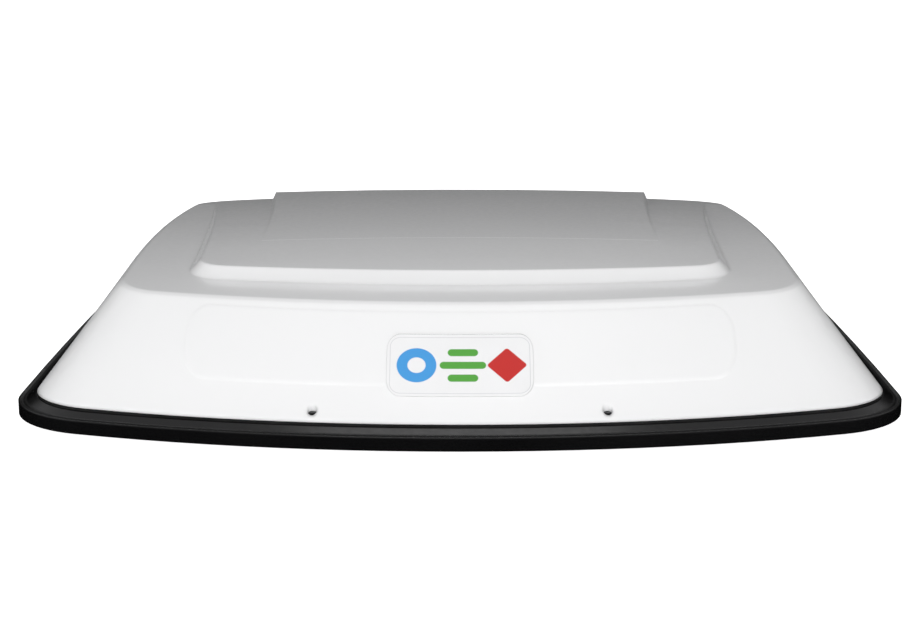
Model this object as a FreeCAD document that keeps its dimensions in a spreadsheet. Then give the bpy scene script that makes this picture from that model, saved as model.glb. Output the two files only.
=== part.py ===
"""Low-profile roof vent cover: a moulded dome with a hooded rear louvre, screwed down on a black base frame.

Millimetres. X runs across the vehicle, -Y is the front of the cover and +Z is up. The origin is on the
roof, at the middle of the base. Every driving size is a cell of the spreadsheet Sizes.
"""
import FreeCAD, Part
import math
import os
import sys

import Sketcher

ALONG_X = FreeCAD.Vector(1, 0, 0)
ALONG_Y = FreeCAD.Vector(0, 1, 0)
UP = FreeCAD.Vector(0, 0, 1)

SIZES = {
    # plan of the base rim
    "rim_half_width": 305.5,
    "rim_half_length": 300.0,
    "rim_end_bow": 813.0,        # radius of the bowed front and rear edges
    "rim_side_bow": 9000.0,      # radius of the bowed side edges
    "rim_corner": 75.0,
    # section of the base frame
    "cut_margin": 2.0,           # how far a cutting shape runs past what it cuts
    "gasket_height": 6.0,
    "gasket_width": 30.0,
    "gasket_inset": 4.0,
    "lip_gap": 1.0,              # outer lip stays this far off the roof
    "lip_wall": 3.0,
    "rim_height": 10.0,
    "ridge_width": 1.9,
    "ridge_height": 0.8,
    "ridge_edge": 0.5,
    "ledge_start": 4.0,          # the ledge slopes up from this inset
    "ledge_width": 12.0,
    "ledge_height": 13.0,
    "flange_thickness": 3.0,
    "upstand_inset": 28.0,
    "upstand_wall": 3.0,
    "upstand_top": 21.0,
    "core_inner": 16.0,          # hollow under the ledge, between lip and this inset
    "core_top": 7.0,
    "opening_half_width": 212.0,
    "opening_half_length": 205.0,
    "opening_corner": 20.0,
    # cover seal
    "seal_height": 2.0,
    "seal_width": 2.7,
    "seal_setback": 0.3,
    # dome walls
    "shell_inset": 13.0,         # from the rim's edge to the dome's edge
    "shell_wall": 3.0,
    "form_height": 93.5,         # dome walls are drawn up to this height above their foot
    "front_lean": 96.3,          # how far each wall leans in over that height
    "side_lean": 67.0,
    "rear_lean": 51.4,
    "top_front_bow": 500.0,
    "top_rear_bow": 650.0,
    "top_side_bow": 1250.0,
    "top_corner": 45.0,
    "cross_crown": 6000.0,       # crown across the width, shared by all top surfaces
    "crown_room": 80.0,          # height above a crown that its cut clears
    "shoulder_peak": 92.0,
    "shoulder_peak_back": 45.0,
    "shoulder_crown": 3000.0,
    "shoulder_edge": 2.0,
    # raised plateau
    "plateau_rise": 4.8,         # crest of the plateau above the crest of the shoulder
    "plateau_peak_ahead": 20.6,
    "plateau_crown": 2500.0,
    "plateau_front": 168.9,
    "plateau_front_bow": 600.0,
    "plateau_corner": 28.0,
    "plateau_half_width": 187.0,
    "plateau_width_ahead": 112.0,
    "plateau_flare": 0.075,     # side slope in plan, width gained per length
    "plateau_rear": 180.0,
    "plateau_level": 92.0,       # level at which the plateau's outline is drawn
    "plateau_reach": 12.0,       # 45 degree band above and below that level
    "plateau_edge": 1.6,
    # hump that hoods the rear louvre
    "hump_rise": 0.2,            # crest of the hump above the crest of the plateau
    "hump_peak_ahead": 6.3,
    "hump_crown": 3410.0,        # flatter than the plateau, so the hump grows out of it to the rear
    "hump_front_ahead": 71.0,    # at the level where the cheeks start to lean
    "hump_front_half_width": 158.0,
    "hump_rear_half_width": 169.0,
    "hump_shoulder": 85.5,       # cheeks are upright to here, then lean in at 45 degrees
    "hump_lean_height": 14.0,
    "hump_cheek_depth": 40.0,
    "face_inset": 54.0,          # from the rim's rear edge to the upright face of the louvre
    "sill_top": 26.0,
    "recess_half_width": 173.0,
    # panel on the front wall
    "panel_half_width": 184.0,
    "panel_bottom": 35.5,
    "panel_top": 75.0,
    "panel_corner": 24.0,
    "panel_proud": 1.2,          # at the foot of the wall, fading out upward
    "panel_fade": 1.5,
    # badge plate
    "badge_half_width": 48.0,
    "badge_bottom": 30.0,
    "badge_height": 33.0,
    "badge_corner": 9.0,
    "badge_thickness": 1.4,      # measured level; the wall leans, so about 1 mm across
    # screws that hold the cover down
    "screw_front_across": 95.0,
    "screw_rear_across": 205.0,
    "screw_inset": 20.0,
    "screw_radius": 1.6,
    "screw_length": 8.5,
    "screw_head_radius": 2.7,
    "screw_head_height": 1.9,
    "screw_drive": 0.9,
    "screw_play": 0.05,          # between thread and insert
    "screw_hole_radius": 1.9,
    "washer_radius": 2.8,
    "washer_thickness": 0.8,
    "pocket_radius": 3.2,
    "pocket_wall": 1.9,
    "pocket_floor": 2.5,
    "boss_radius": 3.7,
    "insert_radius": 2.4,
    "insert_length": 7.0,
    # rear louvre
    "louvre_half_width": 140.0,
    "louvre_bottom": 33.0,
    "louvre_top": 77.0,
    "louvre_corner": 4.0,
    "louvre_play": 0.4,
    "louvre_border": 14.0,       # flange beyond the window at each end
    "louvre_lip": 4.5,           # flange beyond the window above and below
    "louvre_flange": 2.5,
    "louvre_rim_wall": 2.2,
    "blade_count": 5.0,
    "blade_thickness": 1.8,
    "blade_reach": 8.5,
    "blade_fall": 7.0,
    "rib_half_spacing": 46.0,
    "rib_thickness": 2.0,
    "louvre_screw_radius": 1.5,
    "louvre_screw_head": 2.8,
    "louvre_screw_rise": 20.0,   # half the height between the screws
    "louvre_screw_length": 7.5,
    "louvre_boss_radius": 3.5,
    "louvre_boss_length": 5.0,
    # insect screen and its clips
    "screen_half_width": 142.8,
    "screen_half_height": 25.0,
    "screen_bar": 8.0,
    "screen_depth": 4.5,
    "screen_lattice_count": 6.0,
    "screen_lattice_bar": 2.0,
    "mesh_thickness": 0.5,
    "mesh_margin": 3.0,
    "clip_pivot_out": 8.0,       # pivot beyond the end of the screen frame
    "clip_arm": 14.0,
    "clip_heel": 5.0,
    "clip_width": 9.0,
    "clip_thickness": 2.6,
    "clip_gap": 0.3,
    "clip_boss_radius": 3.8,
    "clip_screw_radius": 1.5,
    "clip_screw_head": 2.8,
    "clip_screw_play": 0.08,
    "clip_pilot_depth": 6.0,
    # angle brackets that take the vent's upstand
    "bracket_length": 70.0,
    "bracket_foot": 28.0,
    "bracket_height": 36.0,
    "bracket_sheet": 2.0,
    "bracket_bend": 2.0,
    "bracket_hole_radius": 3.3,
    "bracket_hole_spacing": 40.0,
    "bracket_hole_height": 26.0,
    "foot_hole_radius": 2.75,
    "foot_hole_spacing": 44.0,
    "foot_hole_in": 16.0,
    "bolt_radius": 2.5,
    "bolt_head_radius": 4.7,
    "bolt_head_height": 2.8,
    "bolt_washer_radius": 5.2,
    "bolt_washer_thickness": 1.0,
    "nut_across_flats": 8.0,
    "nut_height": 4.0,
}


class Size:
    """A length with its value and the spreadsheet expression that gives it."""

    def __init__(self, text, value):
        self.text, self.value = text, value

    def join(self, other, sign, value):
        text = other.text if isinstance(other, Size) else repr(other)
        return Size("(%s %s %s)" % (self.text, sign, text), value)

    def __add__(self, other):
        return self.join(other, "+", self.value + number(other))

    def __sub__(self, other):
        return self.join(other, "-", self.value - number(other))

    def __mul__(self, other):
        return self.join(other, "*", self.value * number(other))

    def __truediv__(self, other):
        return self.join(other, "/", self.value / number(other))

    def __neg__(self):
        return Size("(0 - %s)" % self.text, -self.value)


def number(size):
    return size.value if isinstance(size, Size) else float(size)


doc = FreeCAD.newDocument("roof_vent_cover")
sheet = doc.addObject("Spreadsheet::Sheet", "Sizes")
for row, (alias, amount) in enumerate(SIZES.items(), start=1):
    sheet.set("A%d" % row, alias.replace("_", " "))
    sheet.set("B%d" % row, repr(amount))
    sheet.setAlias("B%d" % row, alias)
doc.recompute()


def size(alias):
    return Size("Sizes." + alias, float(getattr(sheet, alias)))


NOTHING = Size("0", 0.0)


def bind(item, prop, amount):
    """Ties one property of a document object to the spreadsheet."""
    item.setExpression(prop, amount.text)


# ---------------------------------------------------------------- sketches and features
def new_body(name):
    return doc.addObject("PartDesign::Body", name)


def new_sketch(body, role, name, offset=NOTHING):
    """A sketch on one of the body's own origin planes, moved along that plane's normal."""
    plane = [f for f in body.Origin.OriginFeatures if f.Role == role][0]
    sketch = body.newObject("Sketcher::SketchObject", name)
    sketch.AttachmentSupport = [(plane, "")]
    sketch.MapMode = "FlatFace"
    bind(sketch, "AttachmentOffset.Base.z", offset)
    return sketch


def hold(sketch, kind, refs, amount):
    """A driving constraint whose value is a spreadsheet expression."""
    index = sketch.addConstraint(Sketcher.Constraint(kind, *refs, number(amount)))
    sketch.setExpression("Constraints[%d]" % index, amount.text)


def hold_coordinate(sketch, kind, geometry, point, amount):
    """Holds a point's signed distance from the origin. A negative one is measured the other way round."""
    if number(amount) >= 0:
        hold(sketch, kind, (-1, 1, geometry, point), amount)
    else:
        hold(sketch, kind, (geometry, point, -1, 1), -amount)


def polygon(sketch, points):
    """Closed polygon through points given as pairs of sizes."""
    vectors = [FreeCAD.Vector(number(x), number(y), 0) for x, y in points]
    first = sketch.GeometryCount
    count = len(points)
    for i in range(count):
        sketch.addGeometry(Part.LineSegment(vectors[i], vectors[(i + 1) % count]), False)
    for i in range(count):
        sketch.addConstraint(Sketcher.Constraint("Coincident", first + i, 2, first + (i + 1) % count, 1))
    for i, (x, y) in enumerate(points):
        hold_coordinate(sketch, "DistanceX", first + i, 1, x)
        hold_coordinate(sketch, "DistanceY", first + i, 1, y)


def circle(sketch, x, y, radius):
    centre = FreeCAD.Vector(number(x), number(y), 0)
    index = sketch.addGeometry(Part.Circle(centre, FreeCAD.Vector(0, 0, 1), number(radius)), False)
    hold(sketch, "Radius", (index,), radius)
    hold_coordinate(sketch, "DistanceX", index, 3, x)
    hold_coordinate(sketch, "DistanceY", index, 3, y)


def arc_between(centre, start, end):
    """The shorter arc about centre from start to end, as geometry that runs anticlockwise."""
    radius = centre.distanceToPoint(start)
    first = math.atan2(start.y - centre.y, start.x - centre.x)
    last = math.atan2(end.y - centre.y, end.x - centre.x)
    while last < first:
        last += 2 * math.pi
    return Part.ArcOfCircle(Part.Circle(centre, FreeCAD.Vector(0, 0, 1), radius), first, last)


def rounded_box(sketch, left, bottom, right, top, corner):
    """Rectangle with equal round corners, drawn anticlockwise."""
    x0, y0, x1, y1, r = (number(v) for v in (left, bottom, right, top, corner))
    centres = [(x1 - r, y0 + r), (x1 - r, y1 - r), (x0 + r, y1 - r), (x0 + r, y0 + r)]
    starts = [(x1 - r, y0), (x1, y1 - r), (x0 + r, y1), (x0, y0 + r)]
    ends = [(x1, y0 + r), (x1 - r, y1), (x0, y1 - r), (x0 + r, y0)]
    first = sketch.GeometryCount
    for i in range(4):
        centre, start, end = (FreeCAD.Vector(*p[i], 0) for p in (centres, starts, ends))
        following = FreeCAD.Vector(*starts[(i + 1) % 4], 0)
        sketch.addGeometry(arc_between(centre, start, end), False)
        sketch.addGeometry(Part.LineSegment(end, following), False)
    for i in range(4):
        arc, line, following = first + 2 * i, first + 2 * i + 1, first + (2 * i + 2) % 8
        sketch.addConstraint(Sketcher.Constraint("Tangent", arc, 2, line, 1))
        sketch.addConstraint(Sketcher.Constraint("Tangent", line, 2, following, 1))
        sketch.addConstraint(Sketcher.Constraint(("Vertical", "Horizontal")[i % 2], line))
    hold(sketch, "Radius", (first,), corner)
    for i in (1, 2, 3):
        sketch.addConstraint(Sketcher.Constraint("Equal", first, first + 2 * i))
    hold_coordinate(sketch, "DistanceX", first + 1, 1, right)
    hold_coordinate(sketch, "DistanceY", first + 3, 1, top)
    hold_coordinate(sketch, "DistanceX", first + 5, 1, left)
    hold_coordinate(sketch, "DistanceY", first + 7, 1, bottom)


class Plan:
    """A bowed rectangle seen from above: arcs for the ends and sides, joined by corner arcs."""

    def __init__(self, half_width, front, rear, front_bow, rear_bow, side_bow, corner):
        self.half_width, self.front, self.rear = half_width, front, rear
        self.front_bow, self.rear_bow, self.side_bow = front_bow, rear_bow, side_bow
        self.corner = corner

    def inset(self, gap):
        """The parallel outline that lies gap further in."""
        parts = (self.half_width, self.front, self.rear, self.front_bow, self.rear_bow, self.side_bow,
                 self.corner)
        return Plan(*(part - gap for part in parts))

    def edge_at(self, across, end):
        """How far the front or rear edge lies from the middle, at a place across the width."""
        reach, bow = (self.front, self.front_bow) if end == "front" else (self.rear, self.rear_bow)
        return number(reach) - number(bow) + math.sqrt(number(bow) ** 2 - number(across) ** 2)

    def corner_centre(self, reach, bow):
        """Centre of the corner arc that touches an end arc and a side arc from inside."""
        r1, r2 = number(bow) - number(self.corner), number(self.side_bow) - number(self.corner)
        y1 = number(reach) - number(bow)
        x2 = number(self.half_width) - number(self.side_bow)
        span = math.hypot(x2, y1)
        along = (r1 ** 2 - r2 ** 2 + span ** 2) / (2 * span)
        off = math.sqrt(r1 ** 2 - along ** 2)
        ux, uy = x2 / span, -y1 / span
        found = [(ux * along - uy * side, y1 + uy * along + ux * side) for side in (off, -off)]
        return max(found, key=lambda p: min(p))

    def draw(self, sketch):
        ends = [(self.front, self.front_bow, -1.0), (self.rear, self.rear_bow, 1.0)]
        corners = []
        for reach, bow, sign in ends:
            x, y = self.corner_centre(reach, bow)
            corners.append((x, sign * y))
        front_centre = FreeCAD.Vector(0, number(self.front_bow) - number(self.front), 0)
        rear_centre = FreeCAD.Vector(0, number(self.rear) - number(self.rear_bow), 0)
        right_centre = FreeCAD.Vector(number(self.half_width) - number(self.side_bow), 0, 0)
        left_centre = FreeCAD.Vector(-right_centre.x, 0, 0)
        r = number(self.corner)

        def touch(corner, bow_centre):
            away = (corner - bow_centre).normalize()
            return corner + away * r

        c = [FreeCAD.Vector(x, y, 0) for x, y in
             ((corners[0][0], corners[0][1]), (corners[1][0], corners[1][1]),
              (-corners[1][0], corners[1][1]), (-corners[0][0], corners[0][1]))]
        bows = [front_centre, right_centre, rear_centre, left_centre]
        # anticlockwise: front arc, right front corner, right side, right rear corner, rear arc, ...
        first = sketch.GeometryCount
        for i in range(4):
            before, after = c[(i + 3) % 4], c[i]
            sketch.addGeometry(arc_between(bows[i], touch(before, bows[i]), touch(after, bows[i])), False)
            sketch.addGeometry(arc_between(after, touch(after, bows[i]), touch(after, bows[(i + 1) % 4])),
                               False)
        for i in range(8):
            sketch.addConstraint(Sketcher.Constraint("Tangent", first + i, 2, first + (i + 1) % 8, 1))
        for i in (1, 3, 5, 7):
            hold(sketch, "Radius", (first + i,), self.corner)
        radii = (self.front_bow, self.side_bow, self.rear_bow, self.side_bow)
        for i, radius in zip((0, 2, 4, 6), radii):
            hold(sketch, "Radius", (first + i,), radius)
        for i, axis in ((0, -2), (4, -2), (2, -1), (6, -1)):
            sketch.addConstraint(Sketcher.Constraint("PointOnObject", first + i, 3, axis))
        hold_coordinate(sketch, "DistanceY", first, 3, self.front_bow - self.front)
        hold_coordinate(sketch, "DistanceY", first + 4, 3, self.rear - self.rear_bow)
        hold_coordinate(sketch, "DistanceX", first + 2, 3, self.half_width - self.side_bow)
        hold_coordinate(sketch, "DistanceX", first + 6, 3, self.side_bow - self.half_width)


def plan_sketch(body, name, plans, height):
    """A level sketch of one outline, or of several inside each other."""
    sketch = new_sketch(body, "XY_Plane", name, height)
    for plan in plans:
        plan.draw(sketch)
    return sketch


def pad(body, name, sketch, length, reversed_side=False):
    feature = body.newObject("PartDesign::Pad", name)
    feature.Profile = sketch
    bind(feature, "Length", length)
    feature.Reversed = reversed_side
    return feature


def pocket(body, name, sketch, length, reversed_side=False):
    feature = body.newObject("PartDesign::Pocket", name)
    feature.Profile = sketch
    bind(feature, "Length", length)
    feature.Reversed = reversed_side
    return feature


def loft(body, name, first, second):
    feature = body.newObject("PartDesign::AdditiveLoft", name)
    feature.Profile = first
    feature.Sections = [second]
    feature.Ruled = True
    return feature


def soften(body, name, chosen, radius, kind="Fillet"):
    """Rounds (or chamfers) the edges of the body's tip whose middle point passes the test."""
    doc.recompute()
    base = body.Tip
    names = []
    for i, edge in enumerate(base.Shape.Edges, start=1):
        middle = edge.valueAt((edge.FirstParameter + edge.LastParameter) / 2)
        if chosen(middle, edge):
            names.append("Edge%d" % i)
    if not names:
        raise RuntimeError("no edge found for " + name)
    feature = body.newObject("PartDesign::" + kind, name)
    feature.Base = (base, names)
    bind(feature, "Radius" if kind == "Fillet" else "Size", radius)
    return feature


# ---------------------------------------------------------------- outlines and levels
RIM = Plan(size("rim_half_width"), size("rim_half_length"), size("rim_half_length"), size("rim_end_bow"),
           size("rim_end_bow"), size("rim_side_bow"), size("rim_corner"))
FOOT_PLAN = RIM.inset(size("shell_inset"))
TOP_PLAN = Plan(FOOT_PLAN.half_width - size("side_lean"), FOOT_PLAN.front - size("front_lean"),
                FOOT_PLAN.rear - size("rear_lean"), size("top_front_bow"), size("top_rear_bow"),
                size("top_side_bow"), size("top_corner"))
FOOT = size("ledge_height") + size("seal_height")
FLANGE_TOP = size("gasket_height") + size("flange_thickness")
MARGIN = size("cut_margin")
WALL = size("shell_wall")
FACE = size("rim_half_length") - size("face_inset")
INNER_FACE = FACE - WALL
PLATEAU_PEAK = size("shoulder_peak") + size("plateau_rise")
HUMP_PEAK = PLATEAU_PEAK + size("hump_rise")


def crown_cut(body, name, peak, peak_back, crown):
    """Removes all that stands above a surface that is crowned lengthwise and across."""
    sketch = new_sketch(body, "XZ_Plane", name + "Sketch", -peak_back)
    bind(sketch, "AttachmentOffset.Base.y", peak - crown)
    across, reach = size("cross_crown"), size("rim_half_width") * 1.1
    half, radius, top = number(reach), number(across), number(crown + size("crown_room"))
    low = number(crown) - radius
    drop = low + math.sqrt(radius ** 2 - half ** 2)
    centre, left, right = (FreeCAD.Vector(x, y, 0) for x, y in ((0, low), (-half, drop), (half, drop)))
    left_top, right_top = FreeCAD.Vector(-half, top, 0), FreeCAD.Vector(half, top, 0)
    sketch.addGeometry(arc_between(centre, right, left), False)
    sketch.addGeometry(Part.LineSegment(left, left_top), False)
    sketch.addGeometry(Part.LineSegment(left_top, right_top), False)
    sketch.addGeometry(Part.LineSegment(right_top, right), False)
    for first, a, second, b in ((0, 2, 1, 1), (1, 2, 2, 1), (2, 2, 3, 1), (3, 2, 0, 1)):
        sketch.addConstraint(Sketcher.Constraint("Coincident", first, a, second, b))
    sketch.addConstraint(Sketcher.Constraint("Vertical", 1))
    sketch.addConstraint(Sketcher.Constraint("Vertical", 3))
    sketch.addConstraint(Sketcher.Constraint("Horizontal", 2))
    sketch.addConstraint(Sketcher.Constraint("PointOnObject", 0, 3, -2))
    hold(sketch, "Radius", (0,), across)
    hold_coordinate(sketch, "DistanceY", 0, 3, crown - across)
    hold_coordinate(sketch, "DistanceX", 2, 1, -reach)
    hold_coordinate(sketch, "DistanceX", 2, 2, reach)
    hold_coordinate(sketch, "DistanceY", 2, 1, crown + size("crown_room"))
    feature = body.newObject("PartDesign::Groove", name)
    feature.Profile = sketch
    feature.ReferenceAxis = (sketch, ["H_Axis"])
    feature.Midplane = True
    feature.Angle = 26.0
    return feature


def plateau_outline(sketch, grow):
    """Bowed front edge, round front corners, sides that flare to the rear and a straight rear edge."""
    front, rear = size("plateau_front") + grow, size("plateau_rear") + grow
    bow, corner = size("plateau_front_bow") + grow, size("plateau_corner") + grow
    flare = size("plateau_flare")
    rear_x = size("plateau_half_width") + grow + flare * (rear + size("plateau_width_ahead"))
    r, m = number(corner), number(flare)
    stretch = math.hypot(1, m)
    bow_y = number(bow) - number(front)
    cx, cy = number(rear_x) - r, r - number(front)
    for _ in range(60):
        cx = number(rear_x) - m * (number(rear) - cy) - r * stretch
        cy = bow_y - math.sqrt((number(bow) - r) ** 2 - cx ** 2)
    centre, bow_centre = FreeCAD.Vector(cx, cy, 0), FreeCAD.Vector(0, bow_y, 0)
    on_bow = centre + (centre - bow_centre).normalize() * r
    on_side = centre + FreeCAD.Vector(1, -m, 0).normalize() * r
    back = FreeCAD.Vector(number(rear_x), number(rear), 0)

    def other(p):
        return FreeCAD.Vector(-p.x, p.y, 0)

    sketch.addGeometry(arc_between(bow_centre, other(on_bow), on_bow), False)
    sketch.addGeometry(arc_between(centre, on_bow, on_side), False)
    sketch.addGeometry(Part.LineSegment(on_side, back), False)
    sketch.addGeometry(Part.LineSegment(back, other(back)), False)
    sketch.addGeometry(Part.LineSegment(other(back), other(on_side)), False)
    sketch.addGeometry(arc_between(other(centre), other(on_side), other(on_bow)), False)
    for first, second in ((0, 1), (1, 2), (4, 5), (5, 0)):
        sketch.addConstraint(Sketcher.Constraint("Tangent", first, 2, second, 1))
    for first, second in ((2, 3), (3, 4)):
        sketch.addConstraint(Sketcher.Constraint("Coincident", first, 2, second, 1))
    hold(sketch, "Radius", (0,), bow)
    hold(sketch, "Radius", (1,), corner)
    hold(sketch, "Radius", (5,), corner)
    sketch.addConstraint(Sketcher.Constraint("PointOnObject", 0, 3, -2))
    hold_coordinate(sketch, "DistanceY", 0, 3, bow - front)
    hold_coordinate(sketch, "DistanceY", 2, 2, rear)
    hold_coordinate(sketch, "DistanceY", 3, 2, rear)
    hold_coordinate(sketch, "DistanceX", 2, 2, rear_x)
    hold_coordinate(sketch, "DistanceX", 3, 2, -rear_x)


def hump_outline(sketch, shrink):
    """Four-sided outline of the hump, a little wider at the rear."""
    front, back = shrink - size("hump_front_ahead"), FACE + MARGIN
    near, far = size("hump_front_half_width") - shrink, size("hump_rear_half_width") - shrink
    polygon(sketch, [(-near, front), (near, front), (far, back), (-far, back)])


def dome(body, skin):
    """The dome as a solid. The inside of the shell is the same solid with every face moved in by the skin."""
    inner = number(skin) > 0
    lift = size("form_height")
    foot = plan_sketch(body, "FootOutline", [FOOT_PLAN.inset(skin)], FOOT)
    top = plan_sketch(body, "TopOutline", [TOP_PLAN.inset(skin)], FOOT + lift)
    loft(body, "Walls", foot, top)
    crown_cut(body, "ShoulderCrown", size("shoulder_peak") - skin, size("shoulder_peak_back"),
              size("shoulder_crown"))
    if not inner:
        level = number(FOOT + lift / 2)
        soften(body, "ShoulderEdge", lambda p, e: p.z > level and abs(e.tangentAt(e.FirstParameter).z) < 0.35,
               size("shoulder_edge"), kind="Chamfer")
    reach = size("plateau_reach")
    low = new_sketch(body, "XY_Plane", "PlateauLow", size("plateau_level") - reach)
    plateau_outline(low, reach - skin)
    high = new_sketch(body, "XY_Plane", "PlateauHigh", size("plateau_level") + reach)
    plateau_outline(high, -reach - skin)
    loft(body, "Plateau", low, high)
    crown_cut(body, "PlateauCrown", PLATEAU_PEAK - skin, -size("plateau_peak_ahead"), size("plateau_crown"))
    cheek = new_sketch(body, "XY_Plane", "HumpFoot", size("hump_shoulder") - size("hump_cheek_depth"))
    hump_outline(cheek, skin)
    pad(body, "HumpCheeks", cheek, size("hump_cheek_depth"))
    lean_low = new_sketch(body, "XY_Plane", "HumpLow", size("hump_shoulder"))
    hump_outline(lean_low, skin)
    lean = size("hump_lean_height")
    lean_high = new_sketch(body, "XY_Plane", "HumpHigh", size("hump_shoulder") + lean)
    hump_outline(lean_high, skin + lean)
    loft(body, "HumpLean", lean_low, lean_high)
    crown_cut(body, "HumpCrown", HUMP_PEAK - skin, -size("hump_peak_ahead"), size("hump_crown"))
    recess = new_sketch(body, "XY_Plane", "RecessOutline", size("sill_top") - skin)
    side, back = size("recess_half_width") + skin, FACE - skin
    end = size("rim_half_length") + MARGIN
    polygon(recess, [(-side, back), (side, back), (side, end), (-side, end)])
    pocket(body, "Recess", recess, size("form_height"), reversed_side=True)



# ---------------------------------------------------------------- where the fixings stand
def rim_point(across, inset, end):
    """A place on the line that runs inset inside the rim, at a distance across the width."""
    plan = RIM.inset(inset)
    reach, bow = (plan.front, plan.front_bow) if end == "front" else (plan.rear, plan.rear_bow)
    text = "(%s - %s + sqrt((%s) ^ 2 - (%s) ^ 2))" % (reach.text, bow.text, bow.text, across.text)
    along = Size(text, plan.edge_at(number(across), end))
    return (across, -along) if end == "front" else (across, along)


SCREW_PLACES = {}
for end, alias in (("front", "screw_front_across"), ("rear", "screw_rear_across")):
    spot_x, spot_y = rim_point(size(alias), size("screw_inset"), end)
    SCREW_PLACES[end + "_left"] = (-spot_x, spot_y)
    SCREW_PLACES[end + "_right"] = (spot_x, spot_y)

BOSS_TOP = FOOT
SEAT = BOSS_TOP + size("pocket_floor")
WINDOW_MIDDLE = (size("louvre_bottom") + size("louvre_top")) / 2
CLIP_ACROSS = size("screen_half_width") + size("clip_pivot_out")
LOUVRE_SCREW_ACROSS = size("louvre_half_width") + size("louvre_border") / 2
CLIP_START = INNER_FACE - size("screen_depth") - size("clip_gap")


def circles(body, role, name, offset, places, radius):
    sketch = new_sketch(body, role, name, offset)
    for x, y in places:
        circle(sketch, x, y, radius)
    return sketch


def box_sketch(body, role, name, offset, half_width, low, high, corner, grow=NOTHING):
    sketch = new_sketch(body, role, name, offset)
    rounded_box(sketch, -half_width - grow, low - grow, half_width + grow, high + grow, corner)
    return sketch


def boolean(body, name, kind, tool):
    feature = body.newObject("PartDesign::Boolean", name)
    feature.setObjects([tool])
    feature.Type = kind
    return feature


def moved_plan(plan, shift):
    """The same outline with its front edge moved forward."""
    return Plan(plan.half_width, plan.front + shift, plan.rear, plan.front_bow, plan.rear_bow, plan.side_bow,
                plan.corner)


def front_form(name, low_shift, high_shift):
    """The dome's walls with the front wall moved forward a little."""
    body = new_body(name)
    foot = plan_sketch(body, name + "Foot", [moved_plan(FOOT_PLAN, low_shift)], FOOT)
    top = plan_sketch(body, name + "Top", [moved_plan(TOP_PLAN, high_shift)], FOOT + size("form_height"))
    loft(body, name + "Walls", foot, top)
    return body


def front_block(name, half_width, low, high, corner):
    """A rounded bar that runs forward through the front wall."""
    body = new_body(name)
    start = size("plateau_width_ahead")
    sketch = box_sketch(body, "XZ_Plane", name + "Outline", start, half_width, low, high, corner)
    pad(body, name + "Bar", sketch, size("rim_half_length") - start)
    return body


# ---------------------------------------------------------------- cover shell
def make_shell():
    body = new_body("cover_shell")
    dome(body, NOTHING)
    fade = size("panel_proud") - size("panel_fade")
    panel_form = front_form("PanelForm", size("panel_proud"), fade)
    panel_bar = front_block("PanelBlock", size("panel_half_width"), size("panel_bottom"), size("panel_top"),
                            size("panel_corner") / 1.5)
    doc.recompute()
    boolean(panel_form, "PanelTrim", "Common", panel_bar)
    doc.recompute()
    boolean(body, "Panel", "Fuse", panel_form)
    void = new_body("CoverInside")
    dome(void, WALL)
    mouth = plan_sketch(void, "MouthOutline", [FOOT_PLAN.inset(WALL)], FOOT)
    pad(void, "Mouth", mouth, MARGIN, reversed_side=True)
    towers = circles(void, "XY_Plane", "TowerOutlines", BOSS_TOP, SCREW_PLACES.values(),
                     size("pocket_radius") + size("pocket_wall"))
    pocket(void, "Towers", towers, size("form_height"), reversed_side=True)
    doc.recompute()
    boolean(body, "Hollow", "Cut", void)
    wells = circles(body, "XY_Plane", "WellOutlines", SEAT, SCREW_PLACES.values(), size("pocket_radius"))
    pocket(body, "Wells", wells, size("form_height"), reversed_side=True)
    holes = circles(body, "XY_Plane", "ScrewHoleOutlines", FOOT - 2, SCREW_PLACES.values(),
                    size("screw_hole_radius"))
    pocket(body, "ScrewHoles", holes, size("form_height"), reversed_side=True)
    window = box_sketch(body, "XZ_Plane", "WindowOutline", -FACE - 2, size("louvre_half_width"),
                        size("louvre_bottom"), size("louvre_top"), size("louvre_corner"))
    pocket(body, "Window", window, WALL + 4, reversed_side=True)
    rise = size("louvre_screw_rise")
    spots = [(side, WINDOW_MIDDLE + step) for side in (LOUVRE_SCREW_ACROSS, -LOUVRE_SCREW_ACROSS)
             for step in (-rise, rise)]
    bosses = circles(body, "XZ_Plane", "LouvreBossOutlines", -INNER_FACE, spots, size("louvre_boss_radius"))
    pad(body, "LouvreBosses", bosses, size("louvre_boss_length"))
    bores = circles(body, "XZ_Plane", "LouvreBoreOutlines", -FACE - 2, spots, size("louvre_screw_radius"))
    pocket(body, "LouvreBores", bores, WALL + size("louvre_boss_length") + 4, reversed_side=True)
    pivots = [(CLIP_ACROSS, WINDOW_MIDDLE), (-CLIP_ACROSS, WINDOW_MIDDLE)]
    posts = circles(body, "XZ_Plane", "ClipPostOutlines", -INNER_FACE, pivots, size("clip_boss_radius"))
    pad(body, "ClipPosts", posts, size("screen_depth") + size("clip_gap"))
    pilots = circles(body, "XZ_Plane", "ClipPilotOutlines", -CLIP_START, pivots, size("clip_screw_radius"))
    pocket(body, "ClipPilots", pilots, size("clip_pilot_depth"))
    return body


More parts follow.
